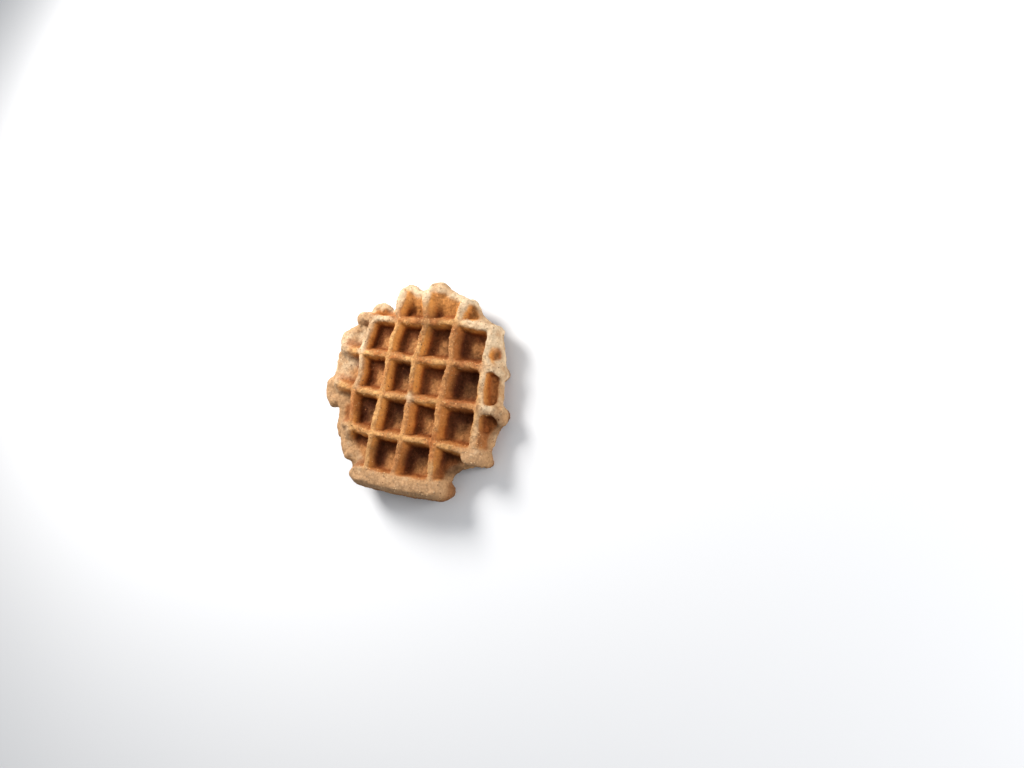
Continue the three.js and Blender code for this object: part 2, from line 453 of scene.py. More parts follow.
def new_tree(name: str, kind: str, inputs: Sequence[Input],
             outputs: Sequence[tuple[str, str]]) -> tuple[NodeTree, Node, Node]:
    """Make a node tree with named inputs and outputs.

    Args:
        name: The tree's name.
        kind: GeometryNodeTree or ShaderNodeTree.
        inputs: Name, socket type and default value of each input.
        outputs: Name and socket type of each output.

    Returns:
        The tree, its input node and its output node.
    """
    tree = bpy.data.node_groups.new(name, kind)
    for label, socket_type, default in inputs:
        socket = tree.interface.new_socket(label, in_out="INPUT", socket_type=socket_type)
        if default is not None:
            socket.default_value = default
    for label, socket_type in outputs:
        tree.interface.new_socket(label, in_out="OUTPUT", socket_type=socket_type)
    return tree, tree.nodes.new("NodeGroupInput"), tree.nodes.new("NodeGroupOutput")


def new_material(name: str) -> tuple[Material, Graph, Mapping[str, Socket]]:
    """Make a material.

    Args:
        name: The material's name.

    Returns:
        The material, a hand for its nodes and the inputs of its shader.
    """
    material = bpy.data.materials.new(name)
    material.use_nodes = True
    return material, Graph(material.node_tree), material.node_tree.nodes["Principled BSDF"].inputs


def link_object(name: str, data: ID) -> Object:
    """Make an object and put it in the scene.

    Args:
        name: The object's name.
        data: Its mesh, light or camera.

    Returns:
        The object.
    """
    made = bpy.data.objects.new(name, data)
    bpy.context.scene.collection.objects.link(made)
    return made


def grow(name: str, base: Mesh, tree: NodeTree,
         values: Mapping[str, object]) -> Object:
    """Run a geometry tree on a mesh and keep the result as a plain mesh.

    Args:
        name: The finished object's name.
        base: The mesh that the tree starts from.
        tree: The geometry tree.
        values: Input name to value.

    Returns:
        The finished object, at the origin, without the modifier.
    """
    seed = link_object(f"{name}_guide", base)
    modifier = seed.modifiers.new("form", "NODES")
    modifier.node_group = tree
    sockets = {item.name: item.identifier for item in tree.interface.items_tree if item.in_out == "INPUT"}
    for label, value in values.items():
        modifier[sockets[label]] = value
    graph = bpy.context.evaluated_depsgraph_get()
    mesh = bpy.data.meshes.new_from_object(seed.evaluated_get(graph), depsgraph=graph)
    seed.modifiers.remove(modifier)
    bpy.data.objects.remove(seed)
    mesh.name = name
    return link_object(name, mesh)


def hand_over(piece: Object, stands_for: str | None = None) -> None:
    """Declare a finished piece to the frame and report it.

    Args:
        piece: The piece.
        stands_for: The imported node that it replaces, if any.
    """
    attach(piece, BODY)
    if stands_for:
        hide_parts(stands_for)
    piece.data.calc_loop_triangles()
    log.info("%s: %d triangles", piece.name, len(piece.data.loop_triangles))


@dataclass
class CrumbGrain:
    """The shader group for baked crumb: mottling, specks and the height of its grain."""

    name: str = "crumb_grain"
    speck_radius: float = 0.34
    fleck_radius: float = 0.34
    pore_radius: float = 0.3

    def build(self) -> NodeTree:
        """Build the group.

        Returns:
            The group, which reads a place in millimetres.
        """
        inputs = (("Place", "NodeSocketVector", None), ("Grain per mm", "NodeSocketFloat", 1.0),
                  ("Speckle", "NodeSocketFloat", 0.5))
        outputs = [(label, "NodeSocketFloat") for label in ("Mottle", "Specks", "Pale flecks", "Height")]
        tree, source, sink = new_tree(self.name, "ShaderNodeTree", inputs, outputs)
        g = Graph(tree)
        place, per_mm, speckle = source.outputs[:3]
        spot = g.scaled(place, per_mm)

        coarse = g.noise(spot, 0.3, 2.0, 0.6, 1.0)
        fine = g.noise(spot, 0.95, 3.0, 0.6, 2.0)
        mottle = g.plus(g.times(coarse, 0.35), g.times(fine, 0.65))

        # Dark specks of spice, each a small blot in its own cell, missing from most cells
        warped = g.vector("ADD", spot, g.scaled(g.noise(spot, 2.2, 1.0, 0.5, 3.0, 1), 0.5))
        away, chances = g.cells(warped, 0.85)
        radius = g.times(g.ramp(chances[0], g.minus(1.0, speckle), 1.0), self.speck_radius)
        specks = g.ramp(away, radius, g.times(radius, 0.35))
        specks = g.times(specks, g.math("GREATER_THAN", radius, 0.03))

        # Pale flecks of sugar, in cells of their own
        away, chances = g.cells(warped, 1.6)
        flecks = g.times(g.ramp(away, self.fleck_radius, 0.08), g.ramp(chances[1], 0.72, 0.85))

        # Open pores, which only sink the relief
        away, chances = g.cells(warped, 1.3)
        pores = g.times(g.ramp(away, self.pore_radius, 0.1), g.ramp(chances[2], 0.6, 0.8))
        crumb = g.noise(spot, 1.7, 4.0, 0.6, 4.0)
        height = g.minus(g.plus(crumb, g.times(fine, 0.8)), g.times(pores, 0.9))

        for index, value in enumerate((mottle, specks, flecks, height)):
            g.feed(sink.inputs[index], value)
        return tree


@dataclass(frozen=True)
class CrustFinish:
    """The baked crust, from its pale free edges to its dark pocket floors, with painted shade in the pockets'
    corners, at the walls' feet, on the lower sides, on the walls that face the far side and toward the near
    side.
    """

    name: str = "baked_crust"
    rib: Colour = srgb(182, 138, 88)
    rib_brown: Colour = srgb(152, 97, 50)
    wall: Colour = srgb(192, 133, 70)
    # Painted shade toward the walls' feet
    wall_foot_shade: Colour = srgb(132, 68, 22)
    floor: Colour = srgb(168, 121, 78)
    far_floor: Colour = srgb(164, 113, 64)
    # Browner crust with painted shade, for the lower sides
    under_brown_and_shade: Colour = srgb(124, 86, 56)
    pale: Colour = srgb(162, 128, 94)
    raw: Colour = srgb(191, 168, 139)
    # Browned free edges, and the painted shade on walls that face the far side
    brown: Colour = srgb(118, 71, 40)
    toast: Colour = srgb(147, 88, 45)
    painted_corner_dark: Colour = srgb(76, 27, 6)
    # Painted shade for the pockets' floors beside their walls
    char: Colour = srgb(54, 26, 16)
    speck: Colour = srgb(66, 30, 12)
    fleck: Colour = srgb(226, 190, 138)
    painted_corner_share: float = 0.8
    brown_share: float = 0.75
    speck_share: float = 0.8
    bump_mm: float = 0.5

    def build(self, grain: NodeTree) -> Material:
        """Build the material.

        Args:
            grain: The shared grain group.

        Returns:
            The material.
        """
        material, g, shader = new_material(self.name)
        place = g.object_mm()
        along = g.parts(place)[1]
        height, pale, steep = map(g.attribute, ("height", "pale", "steep"))
        feeds = {"Place": place, "Grain per mm": 1.0, "Speckle": g.line(pale, 0.14, 0.16)}
        mottle, specks, flecks, relief = g.add("ShaderNodeGroup", feeds, node_tree=grain).outputs[:4]
        patch = g.noise(place, 0.11, 3.0, 0.6, 5.0)

        # Painted shade: walls darken from their tops toward their feet
        wall = g.mix(g.ramp(height, 0.0, 0.75), self.wall_foot_shade, self.wall)
        # Lower sides take a browner crust with painted shade
        wall = g.mix(g.attribute("low"), wall, self.under_brown_and_shade)
        # The shallow pockets at the far edge stayed more golden
        colour = g.mix(steep, g.mix(g.ramp(along, 25.0, 31.0), self.floor, self.far_floor), wall)
        top = g.mix(g.ramp(patch, 0.42, 0.68), self.rib, self.rib_brown)
        rough_height = g.plus(height, g.times(g.minus(mottle, 0.5), 0.5))
        colour = g.mix(g.ramp(rough_height, 0.78, 0.98), colour, top)
        colour = self.bake(g, colour, place, patch)

        calm = g.most(g.times(pale, 0.6), steep)
        colour = g.mix(g.times(flecks, g.line(calm, -0.08, 0.12)), colour, self.fleck)
        colour = g.mix(g.times(specks, self.speck_share), colour, self.speck)
        shade = g.ramp(mottle, 0.38, 0.62, g.line(calm, 0.12, 0.74), g.line(calm, -0.1, 1.22))
        bump = {"Height": relief, "Strength": 0.8, "Distance": self.bump_mm * MM}
        g.feed(shader["Base Color"], g.scaled(colour, shade))
        g.feed(shader["Roughness"], g.ramp(mottle, 0.3, 0.7, 0.86, 0.66))
        g.feed(shader["Specular IOR Level"], g.ramp(height, 0.0, 0.9, 0.08, 0.3))
        g.feed(shader["Normal"], g.get("ShaderNodeBump", bump))
        return material

    def bake(self, g: Graph, colour: Socket, place: Socket, patch: Socket) -> Socket:
        """Lay the painted shade and the pale, toasted, burnt and browned places over the crust's first
        colour.

        Args:
            g: The material's graph.
            colour: The first colour.
            place: Object coordinates in millimetres.
            patch: Large blotches.

        Returns:
            The baked colour.
        """
        names = ("height", "corner_shade_mask", "pale", "burnt", "brown", "toast")
        height, corner_shade_mask, pale, burnt, brown, toast = map(g.attribute, names)
        across, along, _ = g.parts(place)
        # Painted shade beside the pockets' walls, darkest toward their far left corners
        colour = g.mix(g.times(g.ramp(corner_shade_mask, 0.0, 1.0), self.painted_corner_share), colour, self.painted_corner_dark)
        # Painted shade: the free edge is made browner toward the near side, where the key light falls off,
        # and browner toward the left as well
        baked = g.plus(g.ramp(along, 20.0, -40.0, 0.0, 0.25), g.ramp(across, -15.0, -40.0, 0.0, 0.1))
        colour = g.mix(pale, colour, g.mix(g.ramp(g.plus(baked, patch), 0.42, 0.7), self.raw, self.pale))
        colour = g.mix(g.times(burnt, g.ramp(height, 0.3, 1.0, 0.72, 0.3)), colour, self.char)
        # Browned free edges, and painted shade on the walls that face the far side
        colour = g.mix(g.times(brown, self.brown_share), colour, self.brown)
        return g.mix(g.times(toast, g.ramp(height, 0.7, 1.0, 0.55, 0.4)), colour, self.toast)


class FormGraph(Graph):
    """A hand for the body's tree, with its inputs, its guides and the fields that several steps read."""

    def __init__(self, tree: NodeTree, source: Node, names: Sequence[str]) -> None:
        """Keep the inputs by name, and lay the shared fields.

        Args:
            tree: The geometry tree.
            source: The tree's input node.
            names: Names of the tree's inputs.
        """
        super().__init__(tree)
        self.value = {name: source.outputs[name] for name in names}
        self.kinds = self.named("kind", "INT")
        self.here = self.get("GeometryNodeInputPosition")
        self.x, self.y, self.z = self.parts(self.here)
        self.up = self.math("ABSOLUTE", self.z)
        self.flat = self.wandering()
        self.beyond = self.near(Guide.WEB, "FACES")
        # Hollows and notches widen upward like the iron's own pockets
        widen = self.times(self.most(self.z, 0.0), 0.12)
        self.outside = self.minus(self.minus(self.near(Guide.HOLLOW), widen), self.value["Hollow round"])
        self.notched = self.minus(self.near(Guide.NOTCH, "FACES"), widen)
        self.notched = self.minus(self.notched, self.value["Notch round"])

    def wandering(self) -> Socket:
        """Let the place in the plane wander, so that the ribs leave their straight lines a little.

        Returns:
            The place, at height 0.
        """
        seed = self.value["Seed"]
        drift = self.drift(self.here, 0.09, seed, self.value["Drift"])
        fray = self.drift(self.here, 0.33, seed, self.value["Fray"])
        # The near edge is straighter than the rest
        steady = self.ramp(self.y, -33.0, -37.0, 1.0, 0.4)
        wander = self.scaled(self.vector("ADD", drift, fray), steady)
        return self.vector("MULTIPLY", self.vector("ADD", self.here, wander), (1.0, 1.0, 0.0))

    def near(self, what: Guide, element: str = "EDGES", spot: Socket | None = None) -> Socket:
        """Measure the distance to the guides of one kind.

        Args:
            what: The kind.
            element: EDGES, FACES or POINTS.
            spot: Where it is measured, if not at the wandering place in the plane.

        Returns:
            The distance.
        """
        feeds = {2: self.kinds, 3: int(what)}
        same = self.get("FunctionNodeCompare", feeds, data_type="INT", operation="EQUAL")
        feeds = {0: self.value["Guides"], 1: same}
        part = self.get("GeometryNodeSeparateGeometry", feeds, domain="POINT")
        feeds = {0: part, "Sample Position": spot or self.flat}
        return self.add("GeometryNodeProximity", feeds, target_element=element).outputs["Distance"]


@dataclass
class WaffleBody:
    """The baked body: the web, the ribs pressed on both faces, and the swollen free edge."""

    iron: Iron = IRON
    grid_mm: float = 0.58
    half_tops: tuple[float, ...] = (1.15, 1.6, 2.2, 3.1)
    bead_radii: tuple[float, ...] = (1.7, 2.3, 3.2)
    edge_round: float = 1.5
    hollow_round: float = 1.1
    notch_round: float = 0.5
    notch_floor: float = 3.0
    far_rise: float = 1.8
    bite_round: float = 8.0
    bite_low: float = -9.0
    # How far the ribs wander, in long bends and in short ones
    drift: float = 1.8
    fray: float = 1.7
    seed: float = 7.0
    # How far the ribs' sides, their tops and the web swing from place to place
    side_swing: float = 0.3
    top_swing: float = 0.35
    web_swing: float = 0.4
    # Relief of the skin
    lumps: float = 0.35
    grain: float = 0.4
    pits: float = 0.42
    # Roundings where forms join or are cut
    bead_joint: float = 1.0
    swell_joint: float = 1.2
    edge_joint: float = 1.5
    hollow_lip: float = 1.0
    bite_lip: float = 2.0
    # A wall leans, so a distance across it is a little longer than one square to it
    wall_slope: float = 0.93
    # Zones in flat millimetres, from where each begins to where it is whole; a corner is x and y added
    far_zone: Pair = (36.0, 45.0)
    left_zone: Pair = (-36.0, -46.0)
    corner_zone: Pair = (-46.0, -58.0)
    near_zone: Pair = (-30.0, -33.0)
    loose_zone: Pair = (-31.0, -39.0)
    # The box that is meshed, in flat millimetres
    low_corner: Pair = (-60.0, -46.0)
    high_corner: Pair = (49.5, 58.0)
    headroom: float = 1.6

    def sizes(self) -> dict[str, float]:
        """Name the sizes that the tree takes.

        Returns:
            Input name to size.
        """
        iron = self.iron
        tops = zip(("Rib half top", "Lip half top", "Broad half top", "Bar half top"), self.half_tops)
        beads = zip(("Slim bead", "Mid bead", "Fat bead"), self.bead_radii)
        return {
            "Pocket depth": iron.pocket_depth, "Web": iron.web, "Wall run": iron.wall_run,
            "Arch rise": iron.arch_rise, "Far rise": self.far_rise, "Edge round": self.edge_round,
            **dict(tops), **dict(beads), "Hollow round": self.hollow_round, "Bite round": self.bite_round,
            "Notch round": self.notch_round, "Notch floor": self.notch_floor, "Drift": self.drift,
            "Fray": self.fray, "Seed": self.seed,
        }

    def guides(self) -> Mesh:
        """Draw the rib lines, the beads and the web's face, each marked with its kind.

        Returns:
            The guide mesh, in flat millimetres.
        """
        place = self.iron.place
        bm = bmesh.new()
        kind = bm.verts.layers.int.new("kind")

        def marked(points: Sequence[Vector], what: Guide) -> list[bmesh.types.BMVert]:
            """Add points of one kind.

            Args:
                points: Their places.
                what: The kind.

            Returns:
                The mesh's points.
            """
            verts = [bm.verts.new(p) for p in points]
            for vert in verts:
                vert[kind] = what
            return verts

        def line(path: Path, what: Guide, high: float = 0.0) -> None:
            """Add a smooth line of one kind.

            Args:
                path: Its knots, in cells.
                what: The kind.
                high: Its height in millimetres.
            """
            verts = marked(smooth_path([place(p) + Vector((0, 0, high)) for p in path]), what)
            for a, b in zip(verts, verts[1:]):
                bm.edges.new((a, b))

        for what, paths in LINES.items():
            for path in paths:
                line(path, what)
        for rim in RIMS:
            if rim.bead is not None:
                line(rim.path, rim.bead, rim.lift)
        for path in BITES:
            line(path, Guide.BITE, self.bite_low)
        for corners in NOTCHES:
            bm.faces.new(marked([place(p) for p in corners], Guide.NOTCH))
        marked([place(spot) for spot in BURNS], Guide.BURN)
        edge = smooth_path([place(p) for rim in RIMS for p in rim.path], closed=True, steps=3)
        bm.faces.new(marked(edge, Guide.WEB))
        mesh = bpy.data.meshes.new("waffle_guides")
        bm.to_mesh(mesh)
        bm.free()
        return mesh

    def form_tree(self) -> NodeTree:
        """Build the geometry tree that turns the guides into the baked body.

        Returns:
            The tree.
        """
        floats = [(name, "NodeSocketFloat", size) for name, size in self.sizes().items()]
        inputs = (("Guides", "NodeSocketGeometry", None), *floats, ("Crust", "NodeSocketMaterial", None))
        outputs = (("Waffle", "NodeSocketGeometry"),)
        tree, source, sink = new_tree("waffle_form", "GeometryNodeTree", inputs, outputs)
        g = FormGraph(tree, source, [name for name, *_ in inputs])
        skin = self.skin(g, self.dough(g))
        skin = self.mark(g, skin)
        skin = self.roughen(g, skin)
        skin = self.settle(g, skin)
        g.finished(sink, skin, g.value["Crust"])
        return tree

    def dough(self, g: FormGraph) -> Socket:
        """Join the ribs, the free edge and the web into one field, and cut the pockets near the edge.

        Args:
            g: The tree's graph.

        Returns:
            Depth inside the dough in millimetres, negative outside it.
        """
        # Toward the far edge, the left edge and the near left corner the web rises and walls slope wider
        eased = g.most(g.ramp(g.y, *self.far_zone), g.ramp(g.x, *self.left_zone))
        corner = g.times(g.ramp(g.plus(g.x, g.y), *self.corner_zone), g.ramp(g.y, -34.0, -29.0))
        eased = g.most(eased, corner)
        width = g.swing(g.here, 0.12, self.side_swing, 1.0, 11.0)
        lifted = g.vector("ADD", g.flat, g.spot(z=g.z))
        raised = g.meld(self.ribs(g, eased, width), self.beads(g, lifted, width), self.edge_joint)
        hollow = g.most(g.outside, g.minus(0.0, g.z))
        notch = g.most(g.notched, g.minus(g.value["Notch floor"], g.z))
        bite = g.minus(g.near(Guide.BITE, spot=lifted), g.value["Bite round"])
        raised = g.carve(raised, g.least(hollow, notch), self.hollow_lip)
        raised = g.carve(raised, bite, self.bite_lip)
        return g.meld(raised, self.sheet(g, eased), self.edge_joint)

    def ribs(self, g: FormGraph, eased: Socket, width: Socket) -> Socket:
        """Raise the ribs and their swells, which lean outward from their tops to their feet.

        Args:
            g: The tree's graph.
            eased: How much wider the walls slope, 0 to 1.
            width: Change of the ribs' half width.

        Returns:
            The ribs' field.
        """
        value = g.value
        half_thick = g.line(value["Web"], 0.5, value["Pocket depth"])
        run = g.times(value["Wall run"], g.line(eased, 1.6, 1.0))
        # Past the web's edge the dough ran free and has no leaning wall
        run = g.times(run, g.most(g.ramp(g.beyond, 0.0, 1.5, 1.0, 0.2), g.ramp(g.y, *self.near_zone)))
        down = g.math("DIVIDE", g.minus(half_thick, g.up), value["Pocket depth"], clamp=True)
        lean = g.times(run, down)
        sides = None
        for what, size, joint in ((Guide.RIB, "Rib half top", 0.0),
                                  (Guide.LIP, "Lip half top", self.bead_joint),
                                  (Guide.BROAD, "Broad half top", self.swell_joint),
                                  (Guide.BAR, "Bar half top", self.swell_joint)):
            reach = g.plus(g.plus(value[size], width), lean)
            side = g.times(g.minus(reach, g.near(what)), self.wall_slope)
            sides = g.meld(sides, side, joint) if sides else side
        top = g.minus(g.plus(half_thick, g.swing(g.here, 0.09, self.top_swing, 1.0, 12.0)), g.up)
        # Shoulders are rounder where the dough ran free
        shoulder = g.ramp(g.beyond, 0.0, 3.5, 1.1, 4.2)
        return g.carve(sides, top, shoulder)

    def beads(self, g: FormGraph, lifted: Socket, width: Socket) -> Socket:
        """Round the dough that ran out past the grid into beads.

        Args:
            g: The tree's graph.
            lifted: The wandering place at its own height.
            width: Change of the ribs' half width.

        Returns:
            The beads' field.
        """
        beads = None
        for what, size in ((Guide.SLIM_BEAD, "Slim bead"), (Guide.MID_BEAD, "Mid bead"),
                           (Guide.FAT_BEAD, "Fat bead")):
            radius = g.plus(g.value[size], g.times(width, 0.8))
            bead = g.minus(radius, g.near(what, spot=lifted))
            beads = g.meld(beads, bead, self.bead_joint) if beads else bead
        return beads

    def sheet(self, g: FormGraph, eased: Socket) -> Socket:
        """Roll out the web, with its rounded edge.

        Args:
            g: The tree's graph.
            eased: How far the web rises, 0 to 1.

        Returns:
            The web's field.
        """
        value = g.value
        core = g.minus(g.times(value["Web"], 0.5), value["Edge round"])
        rise = g.times(g.times(eased, g.math("GREATER_THAN", g.z, 0.0)), value["Far rise"])
        swell = g.plus(g.swing(g.here, 0.16, self.web_swing, 1.0, 13.0), rise)
        over = g.most(g.minus(g.minus(g.up, core), swell), 0.0)
        return g.minus(value["Edge round"], g.vector("LENGTH", g.spot(g.beyond, over)))

    def skin(self, g: FormGraph, dough: Socket) -> Socket:
        """Mesh the surface of the dough.

        Args:
            g: The tree's graph.
            dough: Depth inside the dough in millimetres.

        Returns:
            The body's mesh.
        """
        high = self.iron.half_thick + self.headroom
        low, top = (*self.low_corner, -high), (*self.high_corner, high)
        counts = [round((b - a) / self.grid_mm) for a, b in zip(low, top)]
        # The surface lies at half density, which is full 2 mm inside the dough and none 2 mm outside it
        density = g.math("MULTIPLY_ADD", dough, 0.25, 0.5, clamp=True)
        feeds = {"Density": density, "Background": 0.0, "Min": low, "Max": top}
        feeds |= {f"Resolution {axis}": count for axis, count in zip("XYZ", counts)}
        cube = g.get("GeometryNodeVolumeCube", feeds)
        skin = g.get("GeometryNodeVolumeToMesh", {"Volume": cube, "Threshold": 0.5})
        return g.moved(skin, g.blurred(g.here, "FLOAT_VECTOR"))

    def mark(self, g: FormGraph, skin: Socket) -> Socket:
        """Store what the finishes read: each point's height, its painted shade and how it baked.

        Args:
            g: The tree's graph.
            skin: The body's mesh.

        Returns:
            The marked body.
        """
        half_web = g.times(g.value["Web"], 0.5)
        height = g.math("DIVIDE", g.minus(g.up, half_web), g.value["Pocket depth"], clamp=True)
        rim = g.near(Guide.WEB)
        inside = g.minus(rim, g.times(g.beyond, 3.0))
        outer = g.ramp(g.beyond, 0.3, 1.2)
        sunk = g.minus(g.z, g.ramp(g.y, -30.0, -35.0, 0.0, 6.0))
        facing = g.parts(g.get("GeometryNodeInputNormal"))
        browned = g.near(Guide.BROWN)

        # Painted shade: pocket floors are darkened beside their walls, most toward the far left corner, where
        # the key light's shadow falls
        aside = g.vector("ADD", g.flat, (-1.9, 1.9, 0.0))
        foot = g.ramp(g.near(Guide.RIB, spot=aside), 7.6, 3.2)
        corner_shade_mask = g.times(g.times(foot, g.ramp(height, 0.42, 0.0)), g.ramp(rim, 1.0, 5.5))

        burnt = g.ramp(g.near(Guide.BURN, "POINTS"), 9.0, 2.0)
        # The hollows and the notches are darkened as well
        burnt = g.most(burnt, g.ramp(g.outside, 0.6, -1.0, 0.0, 0.42))
        burnt = g.most(burnt, g.least(g.ramp(g.notched, 0.0, -1.0, 0.0, 0.5), g.minus(1.0, outer)))

        # Painted shade: walls that face the far side are made browner toward the ribs' tops
        far_wall_shade = g.times(g.ramp(facing[1], 0.1, 0.55), g.ramp(height, 1.0, 0.88, 0.0, 0.85))
        far_wall_shade = g.times(far_wall_shade, g.ramp(inside, 2.0, 4.0))

        toast = g.plus(g.near(Guide.TOAST), g.swing(g.here, 0.25, 1.2, 2.0, 16.0))
        toast = g.times(g.ramp(toast, 3.6, 1.2), g.ramp(height, 0.1, 0.5))

        pale = self.free_dough(g, height, inside, outer)
        # Pale dough fades on the lower sides, which take a browner crust and painted shade
        pale = g.times(pale, g.ramp(sunk, -5.5, -2.0, 0.12, 1.0))
        marks = {
            "height": height, "corner_shade_mask": corner_shade_mask, "burnt": burnt,
            "pale": g.times(pale, g.ramp(browned, 0.9, 2.0, 0.1, 1.0)),
            "steep": g.ramp(g.math("ABSOLUTE", facing[2]), 0.94, 0.6),
            # Lower sides: browner crust with painted shade
            "low": g.ramp(sunk, 0.5, -3.5),
            "brown": g.most(g.ramp(browned, 1.9, 0.7), far_wall_shade),
            "toast": g.most(toast, g.ramp(g.outside, 0.5, -0.7)),
        }
        for name, amount in marks.items():
            skin = g.stored(skin, name, g.blurred(amount))
        return skin

    def free_dough(self, g: FormGraph, height: Socket, inside: Socket, outer: Socket) -> Socket:
        """Find where the dough ran free of the iron and stayed pale.

        Args:
            g: The tree's graph.
            height: Height above the pocket floors, 0 to 1.
            inside: Distance in from the web's edge.
            outer: How far past the web's edge, 0 to 1.

        Returns:
            The share of pale crust, 0 to 1.
        """
        ragged = g.plus(inside, g.swing(g.here, 0.12, 1.8, 3.0, 14.0))
        corner = g.times(g.ramp(g.plus(g.x, g.y), *self.corner_zone), g.ramp(g.y, -34.0, -31.0))
        loose = g.most(g.ramp(g.x, *self.loose_zone), corner)
        # Pale dough reaches further in on the tops, and at the left over the floors as well
        starts, ends = g.line(loose, -0.42, 0.72), g.line(loose, -0.27, 0.97)
        reach = g.ramp(height, starts, ends, g.line(loose, 13.0, 2.0), 9.5)
        free = g.ramp(ragged, g.times(reach, 0.25), reach, 1.0, 0.0)
        # Hollows and notches were pressed by the iron
        shut = g.most(g.ramp(g.line(height, 2.0, g.outside), 0.2, 1.6), g.ramp(g.beyond, 0.0, 0.5))
        free = g.times(g.times(free, shut), g.most(g.ramp(g.notched, -0.3, 0.3), outer))
        along = g.plus(g.near(Guide.PALE), g.swing(g.here, 0.3, 0.8, 2.0, 15.0))
        return g.most(free, g.times(g.ramp(along, 3.4, 1.2), g.ramp(height, 0.55, 0.98, 0.0, 0.95)))

    def roughen(self, g: FormGraph, skin: Socket) -> Socket:
        """Push the skin in and out along its normals for lumps, grain and pits.

        Args:
            g: The tree's graph.
            skin: The marked body.

        Returns:
            The roughened body.
        """
        lumps = g.swing(g.here, 0.3, self.lumps, 2.0, 21.0)
        grain = g.swing(g.here, 0.75, self.grain, 2.0, 22.0)
        pits = g.ramp(g.noise(g.here, 0.42, 1.0, 0.5, 23.0), 0.66, 0.76, 0.0, -self.pits)
        push = g.plus(g.plus(lumps, grain), pits)
        normal = g.get("GeometryNodeInputNormal")
        return g.moved(skin, offset=g.scaled(normal, push))

    def settle(self, g: FormGraph, skin: Socket) -> Socket:
        """Bend the flat body into its arch, set it down in metres and press its feet flat.

        Args:
            g: The tree's graph.
            skin: The roughened body.

        Returns:
            The settled body.
        """
        iron = self.iron
        turn = g.math("DIVIDE", g.minus(g.x, iron.arch_centre), iron.arch_half)
        turn = g.times(g.most(g.least(turn, 1.0), -1.0), math.pi)
        drop = g.times(g.minus(g.math("COSINE", turn), 1.0), g.times(g.value["Arch rise"], 0.5))
        skin = g.moved(skin, offset=g.spot(z=drop))
        middle = tuple(part * MM for part in iron.middle)
        feeds = {"Geometry": skin, "Translation": middle, "Scale": (MM, MM, MM)}
        skin = g.get("GeometryNodeTransform", feeds)
        return g.moved(skin, g.spot(g.x, g.y, g.most(g.z, 0.0)))

    def build(self, crust: Material) -> Object:
        """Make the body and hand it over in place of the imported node.

        Args:
            crust: The crust material.

        Returns:
            The waffle's object.
        """
        piece = grow("waffle_baked", self.guides(), self.form_tree(), {**self.sizes(), "Crust": crust})
        hand_over(piece, NODE)
        return piece


@dataclass(frozen=True)
class CrumbFinish:
    """Loose crumbs and crystals of brown sugar, each of its own tone."""

    name: str = "loose_crumb"
    deep: Colour = srgb(132, 80, 38)
    high: Colour = srgb(186, 142, 94)
    free: Colour = srgb(176, 147, 114)
    speck: Colour = srgb(66, 30, 12)
    bump_mm: float = 0.1

    def build(self, grain: NodeTree) -> Material:
        """Build the material.

        Args:
            grain: The shared grain group.

        Returns:
            The material.
        """
        material, g, shader = new_material(self.name)
        feeds = {"Place": g.object_mm(), "Grain per mm": 2.0, "Speckle": 0.2}
        mottle, specks, _, relief = g.add("ShaderNodeGroup", feeds, node_tree=grain).outputs[:4]
        tone = g.attribute("tone")
        colour = g.mix(g.attribute("height"), self.deep, self.high)
        colour = g.mix(g.attribute("pale"), colour, self.free)
        colour = g.mix(g.times(specks, 0.6), colour, self.speck)
        shade = g.times(g.ramp(mottle, 0.35, 0.65, 0.8, 1.15), g.ramp(tone, 0.0, 1.0, 0.55, 1.15))
        bump = {"Height": relief, "Strength": 0.5, "Distance": self.bump_mm * MM}
        g.feed(shader["Base Color"], g.scaled(colour, shade))
        g.feed(shader["Roughness"], g.ramp(tone, 0.0, 1.0, 0.8, 0.5))
        g.feed(shader["Specular IOR Level"], 0.35)
        g.feed(shader["Normal"], g.get("ShaderNodeBump", bump))
        return material


